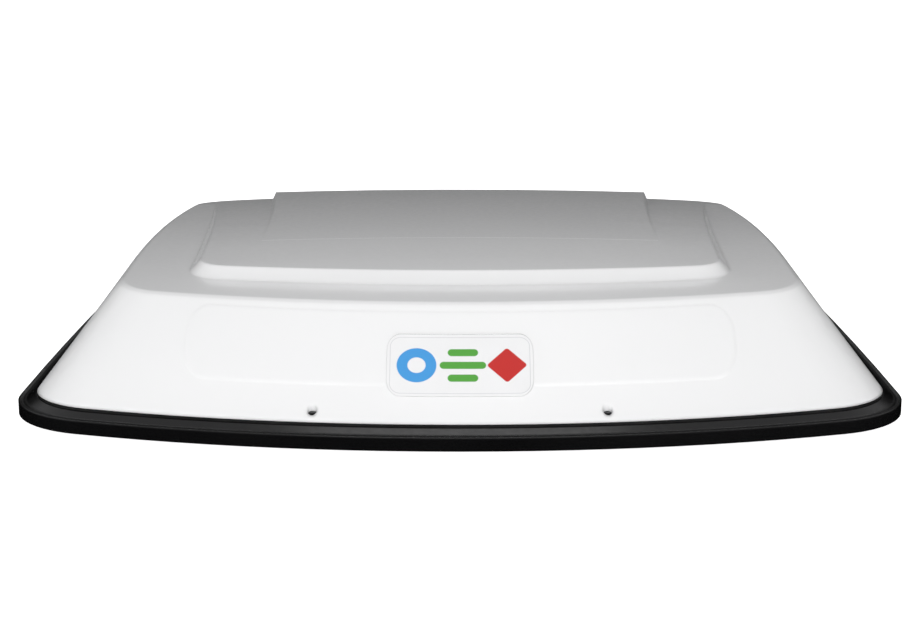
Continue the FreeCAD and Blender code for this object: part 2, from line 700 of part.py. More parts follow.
# ---------------------------------------------------------------- badge on the front wall
def make_badge():
    thick = size("badge_thickness")
    fade = size("panel_proud") - size("panel_fade")
    body = front_form("front_badge", size("panel_proud") + thick, fade + thick)
    low = size("badge_bottom")
    bar = front_block("BadgeBlock", size("badge_half_width"), low, low + size("badge_height"),
                      size("badge_corner"))
    doc.recompute()
    boolean(body, "BadgeTrim", "Common", bar)
    walls = front_form("BadgeBack", NOTHING, NOTHING)
    panel_form = front_form("BadgePanel", size("panel_proud"), fade)
    panel_bar = front_block("BadgePanelBlock", size("panel_half_width"), size("panel_bottom"),
                            size("panel_top"), size("panel_corner") / 1.5)
    doc.recompute()
    boolean(panel_form, "BadgePanelTrim", "Common", panel_bar)
    doc.recompute()
    boolean(walls, "BadgeSeat", "Fuse", panel_form)
    doc.recompute()
    boolean(body, "BadgeFit", "Cut", walls)
    return body


# ---------------------------------------------------------------- base frame, gasket and seal
def make_base_frame():
    body = new_body("base_frame")
    lip, top = size("lip_gap"), size("rim_height")
    block = plan_sketch(body, "BlockOutline", [RIM], lip)
    pad(body, "Block", block, top - lip)
    start = RIM.inset(size("ledge_start"))
    groove = plan_sketch(body, "GrooveOutline", [RIM.inset(size("ridge_width")), start], top)
    pocket(body, "Groove", groove, size("ridge_height"))
    ledge_low = plan_sketch(body, "LedgeLow", [start], top - size("ridge_height"))
    ledge_high = plan_sketch(body, "LedgeHigh", [RIM.inset(size("ledge_width"))], size("ledge_height"))
    loft(body, "Ledge", ledge_low, ledge_high)
    radii = [number(r) for r in (RIM.front_bow, RIM.side_bow, RIM.corner)]
    soften(body, "RidgeEdge", lambda p, e: abs(p.z - number(top)) < 0.01 and is_arc_of(e, radii),
           size("ridge_edge"), kind="Chamfer")
    under = plan_sketch(body, "UnderOutline", [RIM.inset(size("lip_wall"))], lip)
    pocket(body, "UnderRoom", under, size("gasket_height") - lip, reversed_side=True)
    core = plan_sketch(body, "CoreOutline", [RIM.inset(size("lip_wall")), RIM.inset(size("core_inner"))],
                       size("gasket_height"))
    pocket(body, "Core", core, size("core_top") - size("gasket_height"), reversed_side=True)
    inner = RIM.inset(size("core_inner") + size("lip_wall"))
    well = plan_sketch(body, "WellOutline", [inner], FLANGE_TOP)
    pocket(body, "Well", well, size("ledge_height"), reversed_side=True)
    upstand = plan_sketch(body, "UpstandOutline", [RIM.inset(size("upstand_inset")),
                          RIM.inset(size("upstand_inset") + size("upstand_wall"))], FLANGE_TOP)
    pad(body, "Upstand", upstand, size("upstand_top") - FLANGE_TOP)
    bosses = circles(body, "XY_Plane", "BossOutlines", FLANGE_TOP, SCREW_PLACES.values(), size("boss_radius"))
    pad(body, "Bosses", bosses, BOSS_TOP - FLANGE_TOP)
    opening = box_sketch(body, "XY_Plane", "OpeningOutline", NOTHING, size("opening_half_width"),
                         -size("opening_half_length"), size("opening_half_length"), size("opening_corner"))
    pocket(body, "Opening", opening, size("upstand_top"), reversed_side=True)
    sockets = circles(body, "XY_Plane", "SocketOutlines", BOSS_TOP, SCREW_PLACES.values(), size("insert_radius"))
    pocket(body, "Sockets", sockets, size("insert_length"))
    feet = circles(body, "XY_Plane", "FootHoleOutlines", NOTHING, FOOT_BOLTS, size("foot_hole_radius"))
    pocket(body, "FootHoles", feet, FLANGE_TOP + 5, reversed_side=True)
    return body


def is_arc_of(edge, radii):
    """True for a circular edge with one of the given radii."""
    return isinstance(edge.Curve, Part.Circle) and min(abs(edge.Curve.Radius - r) for r in radii) < 0.01


BRACKET_SIDES = (("right", 90), ("left", 270), ("front", 0), ("rear", 180))
FOOT_BOLTS = []
for name, turn in BRACKET_SIDES:
    reach = size("opening_half_width") if name in ("left", "right") else size("opening_half_length")
    for sign in (1, -1):
        along, out = size("foot_hole_spacing") * (0.5 * sign), reach + size("foot_hole_in")
        place = {"right": (out, along), "left": (-out, along), "front": (along, -out), "rear": (along, out)}
        FOOT_BOLTS.append(place[name])


def make_ring(name, outer, inner, low, height):
    body = new_body(name)
    sketch = plan_sketch(body, name + "Outline", [outer, inner], low)
    pad(body, name + "Ring", sketch, height)
    return body


# ---------------------------------------------------------------- brackets
def make_bracket(name, side, turn):
    """Bent angle: its foot lies on the flange and its upright stands at the opening's edge."""
    body = new_body(name)
    sheet_metal, bend = size("bracket_sheet"), size("bracket_bend")
    foot, tall = size("bracket_foot"), size("bracket_height")
    half = size("bracket_length") / 2
    side_view = new_sketch(body, "YZ_Plane", name + "Section", -half)
    polygon(side_view, [(NOTHING, NOTHING), (foot, NOTHING), (foot, sheet_metal), (sheet_metal, sheet_metal),
                        (sheet_metal, tall), (NOTHING, tall)])
    pad(body, name + "Sheet", side_view, size("bracket_length"))
    long_edge, thick = number(size("bracket_length")) * 0.8, number(sheet_metal)
    soften(body, name + "Bend", lambda p, e: max(abs(p.y), abs(p.z)) < 0.01 and e.Length > long_edge, bend)
    soften(body, name + "Hollow", lambda p, e: max(abs(p.y - thick), abs(p.z - thick)) < 0.01
           and e.Length > long_edge, bend / 4)
    soften(body, name + "Corners", lambda p, e: abs(p.z - number(tall)) < 0.01 and e.Length < thick * 2,
           bend * 3, kind="Chamfer")
    low = new_sketch(body, "XY_Plane", name + "FootHoles", -sheet_metal)
    high = new_sketch(body, "XZ_Plane", name + "UprightHoles", -sheet_metal * 2)
    for sign in (0.5, -0.5):
        circle(low, size("foot_hole_spacing") * sign, size("foot_hole_in"), size("foot_hole_radius"))
        circle(high, size("bracket_hole_spacing") * sign, size("bracket_hole_height"),
               size("bracket_hole_radius"))
    pocket(body, name + "FootDrill", low, sheet_metal * 4, reversed_side=True)
    pocket(body, name + "UprightDrill", high, sheet_metal * 4, reversed_side=True)
    reach = number(size("opening_half_width") if side in ("left", "right") else size("opening_half_length"))
    spin = FreeCAD.Rotation(UP, turn + 180)
    out = spin.multVec(ALONG_Y)
    body.Placement = FreeCAD.Placement(FreeCAD.Vector(out.x * reach, out.y * reach, 0), spin)
    bind(body, "Placement.Base.z", FLANGE_TOP)
    across = size("opening_half_width") if side in ("left", "right") else size("opening_half_length")
    if side in ("left", "right"):
        bind(body, "Placement.Base.x", across if out.x > 0 else -across)
    else:
        bind(body, "Placement.Base.y", across if out.y > 0 else -across)
    return body


# ---------------------------------------------------------------- groups of fasteners
class Spindle:
    """A turned piece given by the half of its section: pairs of radius and height."""

    def __init__(self, label, section):
        self.body = new_body(label)
        sketch = new_sketch(self.body, "XZ_Plane", label + "Section")
        polygon(sketch, section)
        feature = self.body.newObject("PartDesign::Revolution", label + "Turned")
        feature.Profile = sketch
        feature.ReferenceAxis = (sketch, ["V_Axis"])
        feature.Angle = 360.0


def hexagon(body, name, sketch_name, level, across_flats, depth, cut):
    sketch = new_sketch(body, "XY_Plane", sketch_name, level)
    centre = FreeCAD.Vector(0, 0, 0)
    radius = number(across_flats) / math.sqrt(3)
    points = [FreeCAD.Vector(radius * math.cos(math.radians(60 * k)), radius * math.sin(math.radians(60 * k)), 0)
              for k in range(6)]
    for k in range(6):
        sketch.addGeometry(Part.LineSegment(points[k], points[(k + 1) % 6]), False)
    ring = sketch.addGeometry(Part.Circle(centre, UP, radius), True)
    for k in range(6):
        sketch.addConstraint(Sketcher.Constraint("Coincident", k, 2, (k + 1) % 6, 1))
        sketch.addConstraint(Sketcher.Constraint("PointOnObject", k, 1, ring))
    for k in range(5):
        sketch.addConstraint(Sketcher.Constraint("Equal", k, k + 1))
    sketch.addConstraint(Sketcher.Constraint("Coincident", ring, 3, -1, 1))
    sketch.addConstraint(Sketcher.Constraint("PointOnObject", 0, 1, -1))
    hold(sketch, "Radius", (ring,), across_flats / Size("sqrt(3)", math.sqrt(3)))
    if cut:
        pocket(body, name, sketch, depth)
    else:
        pad(body, name, sketch, depth)


PIECES = {}


def keep(name, shape):
    PIECES[name] = shape


def copies(label, body, spots, rotation=None):
    """A named group that repeats one finished piece, as separate solids."""
    doc.recompute()
    group = doc.addObject("Part::Feature", label)
    solids = []
    for spot in spots:
        solid = body.Shape.copy()
        turn = rotation or FreeCAD.Rotation()
        solid.Placement = FreeCAD.Placement(FreeCAD.Vector(*(number(v) for v in spot)), turn)
        solids.append(solid)
    group.Shape = Part.makeCompound(solids)
    keep(label, group)
    return group


def make_screw(label, radius, length, head_radius, head_height, drive):
    """Pan-head screw with its head's underside at height zero and a hexagon recess."""
    edge = head_height * 0.35
    piece = Spindle(label, [(NOTHING, -length), (radius, -length), (radius, NOTHING), (head_radius, NOTHING),
                            (head_radius, head_height - edge), (head_radius - edge, head_height),
                            (NOTHING, head_height)])
    hexagon(piece.body, label + "Drive", label + "DriveOutline", head_height, drive * 2.2, head_height * 0.6, True)
    return piece.body


def make_ring_piece(label, inner, outer, height):
    return Spindle(label, [(inner, NOTHING), (outer, NOTHING), (outer, height), (inner, height)]).body


# ---------------------------------------------------------------- rear louvre
def make_louvre():
    body = new_body("rear_grille")
    half, low, high = size("louvre_half_width"), size("louvre_bottom"), size("louvre_top")
    play, corner = size("louvre_play"), size("louvre_corner")
    lip, flange, rim = size("louvre_lip"), size("louvre_flange"), size("louvre_rim_wall")
    plate = box_sketch(body, "XZ_Plane", "LouvrePlateOutline", -FACE, half + size("louvre_border"), low - lip,
                       high + lip, corner)
    pad(body, "LouvrePlate", plate, flange, reversed_side=True)
    collar = box_sketch(body, "XZ_Plane", "CollarOutline", -FACE, half - play, low + play, high - play, corner)
    pad(body, "Collar", collar, WALL)
    bore = box_sketch(body, "XZ_Plane", "CollarBore", -INNER_FACE + 1, half - play - rim, low + play + rim,
                      high - play - rim, corner / 2)
    pocket(body, "Airway", bore, WALL + flange + 4)
    reach, fall, thick = size("blade_reach"), size("blade_fall"), size("blade_thickness")
    count = int(number(size("blade_count")))
    span = high - low - play * 2 - rim * 2
    inner_half = half - play - rim + 0.5
    blade = new_sketch(body, "YZ_Plane", "BladeSections", -inner_half)
    start = INNER_FACE + 0.2
    for k in range(count):
        base = low + play + rim + span * ((k + 0.92) / count)
        polygon(blade, [(start, base - thick), (start, base), (start + reach, base - fall),
                        (start + reach, base - fall - thick)])
    pad(body, "Blades", blade, inner_half * 2)
    ribs = new_sketch(body, "XZ_Plane", "RibOutlines", -INNER_FACE)
    half_rib, spacing = size("rib_thickness") / 2, size("rib_half_spacing")
    for place in (-spacing, NOTHING, spacing):
        polygon(ribs, [(place - half_rib, low + play + 0.5), (place + half_rib, low + play + 0.5),
                       (place + half_rib, high - play - 0.5), (place - half_rib, high - play - 0.5)])
    pad(body, "Ribs", ribs, WALL + 1, reversed_side=True)
    rise = size("louvre_screw_rise")
    spots = [(side, WINDOW_MIDDLE + step) for side in (LOUVRE_SCREW_ACROSS, -LOUVRE_SCREW_ACROSS)
             for step in (-rise, rise)]
    drill = circles(body, "XZ_Plane", "LouvreDrillOutlines", -FACE + 1, spots, size("louvre_screw_radius") + 0.1)
    pocket(body, "LouvreDrill", drill, flange + 4)
    return body


# ---------------------------------------------------------------- insect screen
def make_screen_frame():
    body = new_body("screen_frame")
    half, tall, bar = size("screen_half_width"), size("screen_half_height"), size("screen_bar")
    depth = size("screen_depth")
    outer = box_sketch(body, "XZ_Plane", "ScreenOutline", -INNER_FACE, half, WINDOW_MIDDLE - tall,
                       WINDOW_MIDDLE + tall, size("louvre_corner"))
    rounded_box(outer, -half + bar, WINDOW_MIDDLE - tall + bar, half - bar, WINDOW_MIDDLE + tall - bar,
                size("louvre_corner") / 2)
    pad(body, "ScreenFrame", outer, depth)
    lattice = new_sketch(body, "XZ_Plane", "LatticeOutlines", -INNER_FACE)
    count = int(number(size("screen_lattice_count")))
    half_bar = size("screen_lattice_bar") / 2
    for k in range(1, count):
        place = (half - bar) * (2.0 * k / count - 1.0)
        polygon(lattice, [(place - half_bar, WINDOW_MIDDLE - tall + bar - 1),
                          (place + half_bar, WINDOW_MIDDLE - tall + bar - 1),
                          (place + half_bar, WINDOW_MIDDLE + tall - bar + 1),
                          (place - half_bar, WINDOW_MIDDLE + tall - bar + 1)])
    pad(body, "Lattice", lattice, depth / 2)
    seat = box_sketch(body, "XZ_Plane", "MeshSeatOutline", -INNER_FACE + depth - 1, half - bar + size("mesh_margin"),
                      WINDOW_MIDDLE - tall + bar - size("mesh_margin"),
                      WINDOW_MIDDLE + tall - bar + size("mesh_margin"), size("louvre_corner") / 2)
    pocket(body, "MeshSeat", seat, size("screen_depth"), reversed_side=True)
    return body


def make_mesh():
    body = new_body("insect_screen")
    half, tall, bar = size("screen_half_width"), size("screen_half_height"), size("screen_bar")
    start = INNER_FACE - size("screen_depth") + 1
    margin = size("mesh_margin") - 0.1
    sheet_outline = box_sketch(body, "XZ_Plane", "MeshOutline", -start, half - bar + margin,
                               WINDOW_MIDDLE - tall + bar - margin, WINDOW_MIDDLE + tall - bar + margin,
                               size("louvre_corner") / 2)
    pad(body, "MeshSheet", sheet_outline, size("mesh_thickness"))
    return body


def make_clip(label, sign):
    """Turn-button: an arm over the screen frame, a round boss and a short heel."""
    body = new_body(label)
    width, arm, heel = size("clip_width"), size("clip_arm"), size("clip_heel")
    x, z = CLIP_ACROSS, WINDOW_MIDDLE
    start = CLIP_START - size("clip_screw_play")
    if sign > 0:
        left, right = x - arm, x + heel
    else:
        left, right = -x - heel, -x + arm
    plate = new_sketch(body, "XZ_Plane", label + "Outline", -start)
    rounded_box(plate, left, z - width / 2, right, z + width / 2, width / 2.6)
    pad(body, label + "Plate", plate, size("clip_thickness"))
    drill = circles(body, "XZ_Plane", label + "DrillOutline", -start - 1, [(x if sign > 0 else -x, z)],
                    size("clip_screw_radius") + size("clip_screw_play"))
    pocket(body, label + "Drill", drill, size("clip_thickness") + 3, reversed_side=True)
    return body


# ---------------------------------------------------------------- all the pieces
keep("cover_shell", make_shell())
keep("front_badge", make_badge())
keep("base_frame", make_base_frame())
gasket_outer = RIM.inset(size("gasket_inset"))
keep("roof_gasket", make_ring("roof_gasket", gasket_outer, gasket_outer.inset(size("gasket_width")), NOTHING,
                              size("gasket_height")))
seal_outer = FOOT_PLAN.inset(size("seal_setback"))
keep("cover_seal", make_ring("cover_seal", seal_outer, seal_outer.inset(size("seal_width")),
                             size("ledge_height"), size("seal_height")))
for side, turn in BRACKET_SIDES:
    keep("bracket_" + side, make_bracket("bracket_" + side, side, turn))
insert = make_ring_piece("InsertPiece", size("screw_radius") + size("screw_play"), size("insert_radius"),
                         size("insert_length"))
copies("threaded_inserts", insert, [(x, y, BOSS_TOP - size("insert_length")) for x, y in SCREW_PLACES.values()])
foot_top = FLANGE_TOP + size("bracket_sheet")
foot_washer = make_ring_piece("FootWasherPiece", size("bolt_radius") + 0.15, size("bolt_washer_radius"),
                              size("bolt_washer_thickness"))
copies("bracket_washers", foot_washer, [(x, y, foot_top) for x, y in FOOT_BOLTS])
bolt = make_screw("FootBoltPiece", size("bolt_radius"), foot_top + size("bolt_washer_thickness") - 1.8,
                  size("bolt_head_radius"), size("bolt_head_height"), size("bolt_radius") * 0.62)
copies("bracket_bolts", bolt, [(x, y, foot_top + size("bolt_washer_thickness")) for x, y in FOOT_BOLTS])
nut = new_body("NutPiece")
hexagon(nut, "NutBlock", "NutOutline", NOTHING, size("nut_across_flats"), size("nut_height"), False)
nut_bore = circles(nut, "XY_Plane", "NutBoreOutline", NOTHING, [(NOTHING, NOTHING)], size("bolt_radius"))
pocket(nut, "NutBore", nut_bore, size("nut_height") + 2, reversed_side=True)
copies("bracket_nuts", nut, [(x, y, size("gasket_height") - size("nut_height")) for x, y in FOOT_BOLTS])
washer = make_ring_piece("WasherPiece", size("screw_radius") + 0.2, size("washer_radius"),
                         size("washer_thickness"))
copies("screw_washers", washer, [(x, y, SEAT) for x, y in SCREW_PLACES.values()])
for place, (x, y) in SCREW_PLACES.items():
    screw = make_screw("cover_screw_" + place, size("screw_radius"), size("screw_length"),
                       size("screw_head_radius"), size("screw_head_height"), size("screw_drive"))
    bind(screw, "Placement.Base.x", x)
    bind(screw, "Placement.Base.y", y)
    bind(screw, "Placement.Base.z", SEAT + size("washer_thickness"))
    keep("cover_screw_" + place, screw)
keep("rear_grille", make_louvre())
rise = size("louvre_screw_rise")
to_rear = FreeCAD.Rotation(ALONG_X, -90)
to_front = FreeCAD.Rotation(ALONG_X, 90)
grille_screw = make_screw("GrilleScrewPiece", size("louvre_screw_radius"), size("louvre_screw_length"),
                          size("louvre_screw_head"), size("louvre_screw_head") * 0.6, size("screw_drive") * 0.8)
copies("grille_screws", grille_screw, [(side, FACE + size("louvre_flange"), WINDOW_MIDDLE + step)
                                       for side in (LOUVRE_SCREW_ACROSS, -LOUVRE_SCREW_ACROSS)
                                       for step in (-rise, rise)], to_rear)
keep("screen_frame", make_screen_frame())
keep("insect_screen", make_mesh())
keep("screen_clip_right", make_clip("screen_clip_right", 1))
keep("screen_clip_left", make_clip("screen_clip_left", -1))
clip_seat = CLIP_START - size("clip_screw_play") * 2 - size("clip_thickness")
clip_screw = make_screw("ClipScrewPiece", size("clip_screw_radius"), size("clip_thickness") + 5.5,
                        size("clip_screw_head"), size("clip_screw_head") * 0.6, size("screw_drive") * 0.8)
copies("clip_screws", clip_screw, [(side, clip_seat, WINDOW_MIDDLE) for side in (CLIP_ACROSS, -CLIP_ACROSS)],
       to_front)
doc.recompute()

# ---------------------------------------------------------------- checks and files
faults = [item for item in doc.Objects if {"Invalid", "Error", "Touched"} & set(item.State)]
for item in faults:
    print("PROBLEM", item.Name, item.State)
if faults:
    sys.exit(1)
os.makedirs("parts", exist_ok=True)
for name, item in PIECES.items():
    shape = item.Shape
    if not shape.isValid() or not shape.Solids:
        print("PROBLEM", name, "has no valid solid")
        sys.exit(1)
    print(name, len(shape.Solids), round(sum(s.Volume for s in shape.Solids), 1))
    shape.exportStep("parts/" + name + ".step")
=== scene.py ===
import bpy
import math
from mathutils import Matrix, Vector


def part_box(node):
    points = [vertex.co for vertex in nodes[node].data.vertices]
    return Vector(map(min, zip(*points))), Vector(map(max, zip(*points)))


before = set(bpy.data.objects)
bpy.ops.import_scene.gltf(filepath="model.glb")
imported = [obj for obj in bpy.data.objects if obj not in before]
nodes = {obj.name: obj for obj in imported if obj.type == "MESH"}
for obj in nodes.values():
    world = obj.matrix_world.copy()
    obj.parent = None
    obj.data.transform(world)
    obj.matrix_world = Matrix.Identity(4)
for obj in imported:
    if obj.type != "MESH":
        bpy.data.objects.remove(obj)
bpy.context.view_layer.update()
print("stage: frame loaded,", len(nodes), "nodes")

noiseSpan = (0.3, 0.7)  # most of a noise texture's values lie between these
noiseDetail = {"patch": 4.0, "grain": 2.0, "relief": 3.0}
bevelSamples = 6


def newMaterial(name):
    mat = bpy.data.materials.new(name)
    mat.use_nodes = True
    mat.node_tree.nodes.clear()
    return mat, mat.node_tree


def addNode(tree, kind, values=None, **props):
    node = tree.nodes.new(kind)
    for key, value in props.items():
        setattr(node, key, value)
    for key, value in (values or {}).items():
        feed(tree, value, node.inputs[key])
    return node


# links another node's output, or sets a plain value
def feed(tree, value, socket):
    if isinstance(value, bpy.types.NodeSocket):
        tree.links.new(value, socket)
    else:
        socket.default_value = value


def calc(tree, operation, *values):
    node = addNode(tree, "ShaderNodeMath", operation=operation)
    for value, socket in zip(values, node.inputs):
        feed(tree, value, socket)
    return node.outputs[0]


def objectCoords(tree, stretch=None):
    place = addNode(tree, "ShaderNodeTexCoord").outputs["Object"]
    if stretch is None:
        return place
    return addNode(tree, "ShaderNodeMapping", {"Vector": place, "Scale": stretch}).outputs["Vector"]


def splitAxes(tree):
    node = addNode(tree, "ShaderNodeSeparateXYZ", {"Vector": objectCoords(tree)})
    return node.outputs["X"], node.outputs["Y"], node.outputs["Z"]


def noise(tree, coords, scale, detail):
    node = addNode(tree, "ShaderNodeTexNoise", {"Vector": coords, "Scale": scale, "Detail": detail})
    return node.outputs["Fac"]


def remap(tree, value, low, high, outLow, outHigh):
    node = addNode(tree, "ShaderNodeMapRange", {"Value": value, "From Min": low, "From Max": high,
                                                "To Min": outLow, "To Max": outHigh})
    return node.outputs["Result"]


def mixColor(tree, factor, first, second):
    node = addNode(tree, "ShaderNodeMix", data_type="RGBA")
    for name, value in (("Factor", factor), ("A", first), ("B", second)):
        if isinstance(value, tuple):
            value = (*value, 1)
        feed(tree, value, [s for s in node.inputs if s.name == name and s.enabled][0])
    return [s for s in node.outputs if s.enabled][0]


def roundedNormal(tree, radius):
    node = addNode(tree, "ShaderNodeBevel", {"Radius": radius}, samples=bevelSamples)
    return node.outputs["Normal"]


# ridges round a shank, up to the level where its thread ends
def threadRelief(tree, threads):
    height = splitAxes(tree)[2]
    wave = calc(tree, "SINE", calc(tree, "MULTIPLY", height, 2 * math.pi / threads["pitch"]))
    below = calc(tree, "LESS_THAN", height, threads["top"])
    return calc(tree, "MULTIPLY", wave, below)


# one surface with slow changes of tone, a fine grain in its gloss, and relief
def finishMaterial(name, look):
    mat, tree = newMaterial(name)
    coords = objectCoords(tree, look.get("stretch"))
    patches = noise(tree, coords, look["patchScale"], noiseDetail["patch"])
    tone = mixColor(tree, remap(tree, patches, *noiseSpan, 0, 1), look["dark"], look["light"])
    grain = noise(tree, coords, look["grainScale"], noiseDetail["grain"])
    rough = remap(tree, grain, *noiseSpan, *look["roughness"])
    height = noise(tree, coords, look["reliefScale"], noiseDetail["relief"])
    if "cells" in look:
        cells = addNode(tree, "ShaderNodeTexVoronoi", {"Vector": coords, "Scale": look["cells"]})
        height = calc(tree, "ADD", height, cells.outputs["Distance"])
    if "threads" in look:
        height = calc(tree, "ADD", height, threadRelief(tree, look["threads"]))
    bump = addNode(tree, "ShaderNodeBump", {"Strength": look["relief"], "Distance": look["reliefDepth"],
                                            "Height": height})
    if "edgeRadius" in look:
        feed(tree, roundedNormal(tree, look["edgeRadius"]), bump.inputs["Normal"])
    shader = addNode(tree, "ShaderNodeBsdfPrincipled", {
        "Base Color": tone, "Roughness": rough, "Normal": bump.outputs["Normal"],
        "Metallic": look.get("metallic", 0.0), "IOR": look.get("ior", 1.46),
        "Coat Weight": look.get("coat", 0.0), "Coat Roughness": look.get("coatRoughness", 0.1)})
    addNode(tree, "ShaderNodeOutputMaterial", {"Surface": shader.outputs["BSDF"]})
    return mat


def dress(names, mat):
    for name in names:
        slots = nodes[name].data.materials
        slots.clear()
        slots.append(mat)


# white moulded dome and its louvre
shellLook = {"dark": (0.85, 0.852, 0.855), "light": (0.88, 0.881, 0.882), "patchScale": 3.0,
             "roughness": (0.19, 0.23), "grainScale": 260.0,
             "relief": 0.03, "reliefDepth": 0.0003, "reliefScale": 12.0,
             "coat": 0.2, "coatRoughness": 0.08, "edgeRadius": 0.0035}
dress(["cover_shell", "rear_grille"], finishMaterial("whitePlastic", shellLook))
evenNormals = nodes["cover_shell"].modifiers.new("evenNormals", "WEIGHTED_NORMAL")
evenNormals.keep_sharp = True  # clears the smudges where faces are slivers

# glossy black base
frameLook = {"dark": (0.002, 0.002, 0.0022), "light": (0.0038, 0.0038, 0.004), "patchScale": 9.0,
             "roughness": (0.13, 0.24), "grainScale": 320.0,
             "relief": 0.06, "reliefDepth": 0.0004, "reliefScale": 22.0, "edgeRadius": 0.0016}
dress(["base_frame"], finishMaterial("blackPlastic", frameLook))

# foam ring under the base
foamLook = {"dark": (0.012, 0.012, 0.012), "light": (0.03, 0.03, 0.031), "patchScale": 30.0,
            "roughness": (0.75, 0.95), "grainScale": 500.0,
            "relief": 0.6, "reliefDepth": 0.0008, "reliefScale": 700.0, "cells": 900.0}
dress(["roof_gasket"], finishMaterial("closedCellFoam", foamLook))

# dome seal and screw washers
rubberLook = {"dark": (0.01, 0.01, 0.01), "light": (0.02, 0.02, 0.02), "patchScale": 40.0,
              "roughness": (0.5, 0.7), "grainScale": 600.0,
              "relief": 0.3, "reliefDepth": 0.0003, "reliefScale": 1200.0}
dress(["cover_seal", "screw_washers"], finishMaterial("softRubber", rubberLook))

# screen frame and its turn-buttons
satinLook = {"dark": (0.012, 0.012, 0.013), "light": (0.02, 0.02, 0.021), "patchScale": 20.0,
             "roughness": (0.38, 0.5), "grainScale": 900.0,
             "relief": 0.25, "reliefDepth": 0.0002, "reliefScale": 1500.0, "edgeRadius": 0.0004}
dress(["screen_frame", "screen_clip_right", "screen_clip_left"], finishMaterial("satinBlack", satinLook))

# screws of the dome
darkScrewLook = {"dark": (0.05, 0.05, 0.052), "light": (0.085, 0.085, 0.088), "patchScale": 90.0,
                 "metallic": 1.0, "roughness": (0.28, 0.42), "grainScale": 900.0,
                 "relief": 0.4, "reliefDepth": 0.0003, "reliefScale": 900.0,
                 "threads": {"pitch": 0.0007, "top": 0.0181}}
dress([name for name in nodes if name.startswith("cover_screw_")],
      finishMaterial("darkScrew", darkScrewLook))

# bolts and nuts of the brackets
boltLook = {"dark": (0.42, 0.42, 0.43), "light": (0.56, 0.56, 0.57), "patchScale": 60.0,
            "metallic": 1.0, "roughness": (0.22, 0.4), "grainScale": 900.0,
            "relief": 0.4, "reliefDepth": 0.0003, "reliefScale": 900.0,
            "threads": {"pitch": 0.0008, "top": 0.0118}}
dress(["bracket_bolts", "bracket_nuts"], finishMaterial("boltSteel", boltLook))

# bright washers and small screws
steelLook = {"dark": (0.42, 0.42, 0.43), "light": (0.56, 0.56, 0.57), "patchScale": 60.0,
             "metallic": 1.0, "roughness": (0.22, 0.4), "grainScale": 900.0,
             "relief": 0.15, "reliefDepth": 0.0002, "reliefScale": 900.0}
dress(["bracket_washers", "grille_screws", "clip_screws"], finishMaterial("stainless", steelLook))

# angle brackets, rolled sheet
bracketLook = {"dark": (0.56, 0.565, 0.58), "light": (0.68, 0.685, 0.7), "patchScale": 26.0,
               "metallic": 1.0, "roughness": (0.3, 0.5), "grainScale": 300.0, "stretch": (1, 1, 14),
               "relief": 0.25, "reliefDepth": 0.0002, "reliefScale": 260.0, "edgeRadius": 0.0004}
dress(["bracket_left", "bracket_right", "bracket_front", "bracket_rear"],
      finishMaterial("millAluminium", bracketLook))

# inserts in the bosses
brassLook = {"dark": (0.5, 0.33, 0.12), "light": (0.66, 0.46, 0.2), "patchScale": 70.0,
             "metallic": 1.0, "roughness": (0.25, 0.4), "grainScale": 700.0,
             "relief": 0.5, "reliefDepth": 0.0003, "reliefScale": 1200.0,
             "threads": {"pitch": 0.0012, "top": 1.0}}
dress(["threaded_inserts"], finishMaterial("insertBrass", brassLook))
print("stage: moulded and metal finishes set")


# the colour between the wires is painted shade, standing in for the dark seen through the holes
wovenLook = {"pitch": 0.0016, "wireShare": (0.55, 0.75), "wire": (0.09, 0.09, 0.092),
             "gap": (0.004, 0.004, 0.004), "grainScale": 300.0, "grainDetail": 3.0,
             "roughness": (0.35, 0.55), "relief": 0.8, "reliefDepth": 0.0003}


# wires across and up the screen, with painted shade in the holes between them, near black in place of
# see-through
def wovenMaterial(look):
    mat, tree = newMaterial("wovenMesh")
    across, _, up = splitAxes(tree)
    wires = []
    for axis in (across, up):
        wave = calc(tree, "SINE", calc(tree, "MULTIPLY", axis, math.pi / look["pitch"]))
        wires.append(calc(tree, "ABSOLUTE", wave))
    height = calc(tree, "MAXIMUM", *wires)
    # painted shade fills the holes between the wires
    tone = mixColor(tree, remap(tree, height, *look["wireShare"], 0.0, 1.0), look["gap"], look["wire"])
    grain = noise(tree, objectCoords(tree), look["grainScale"], look["grainDetail"])
    rough = remap(tree, grain, *noiseSpan, *look["roughness"])
    bump = addNode(tree, "ShaderNodeBump", {"Strength": look["relief"], "Distance": look["reliefDepth"],
                                            "Height": height})
    shader = addNode(tree, "ShaderNodeBsdfPrincipled", {"Base Color": tone, "Roughness": rough,
                                                        "Normal": bump.outputs["Normal"]})
    addNode(tree, "ShaderNodeOutputMaterial", {"Surface": shader.outputs["BSDF"]})
    return mat


dress(["insect_screen"], wovenMaterial(wovenLook))
print("stage: insect screen woven")


# the printed shapes are in tenths of half the badge's height, measured up its slope
badgeLook = {"ground": (0.87, 0.87, 0.875), "groundShade": 0.97, "patchScale": 40.0, "patchDetail": 3.0,
             "line": (0.42, 0.43, 0.45), "blue": (0.05, 0.32, 0.72), "green": (0.08, 0.36, 0.04),
             "red": (0.55, 0.014, 0.01), "slope": 1.43, "softness": 0.00025, "lineWidth": 1.6,
             "roughness": (0.03, 0.09), "grainScale": 500.0, "edgeRadius": 0.0012,
             "ior": 1.5, "coat": 0.8, "coatRoughness": 0.03,
             "border": {"inset": 1.0, "corner": 3.0},
             "ring": {"middle": -12.0, "reach": 5.6, "inset": 1.6, "halfWidth": 1.5},
             "bars": {"middle": 0.8, "rows": (4.1, 0.0, -4.1), "reaches": (4.2, 6.4, 4.2),
                      "halfTall": 1.15, "corner": 1.1},
             "diamond": {"middle": 13.0, "reach": 4.0, "corner": 0.8}}


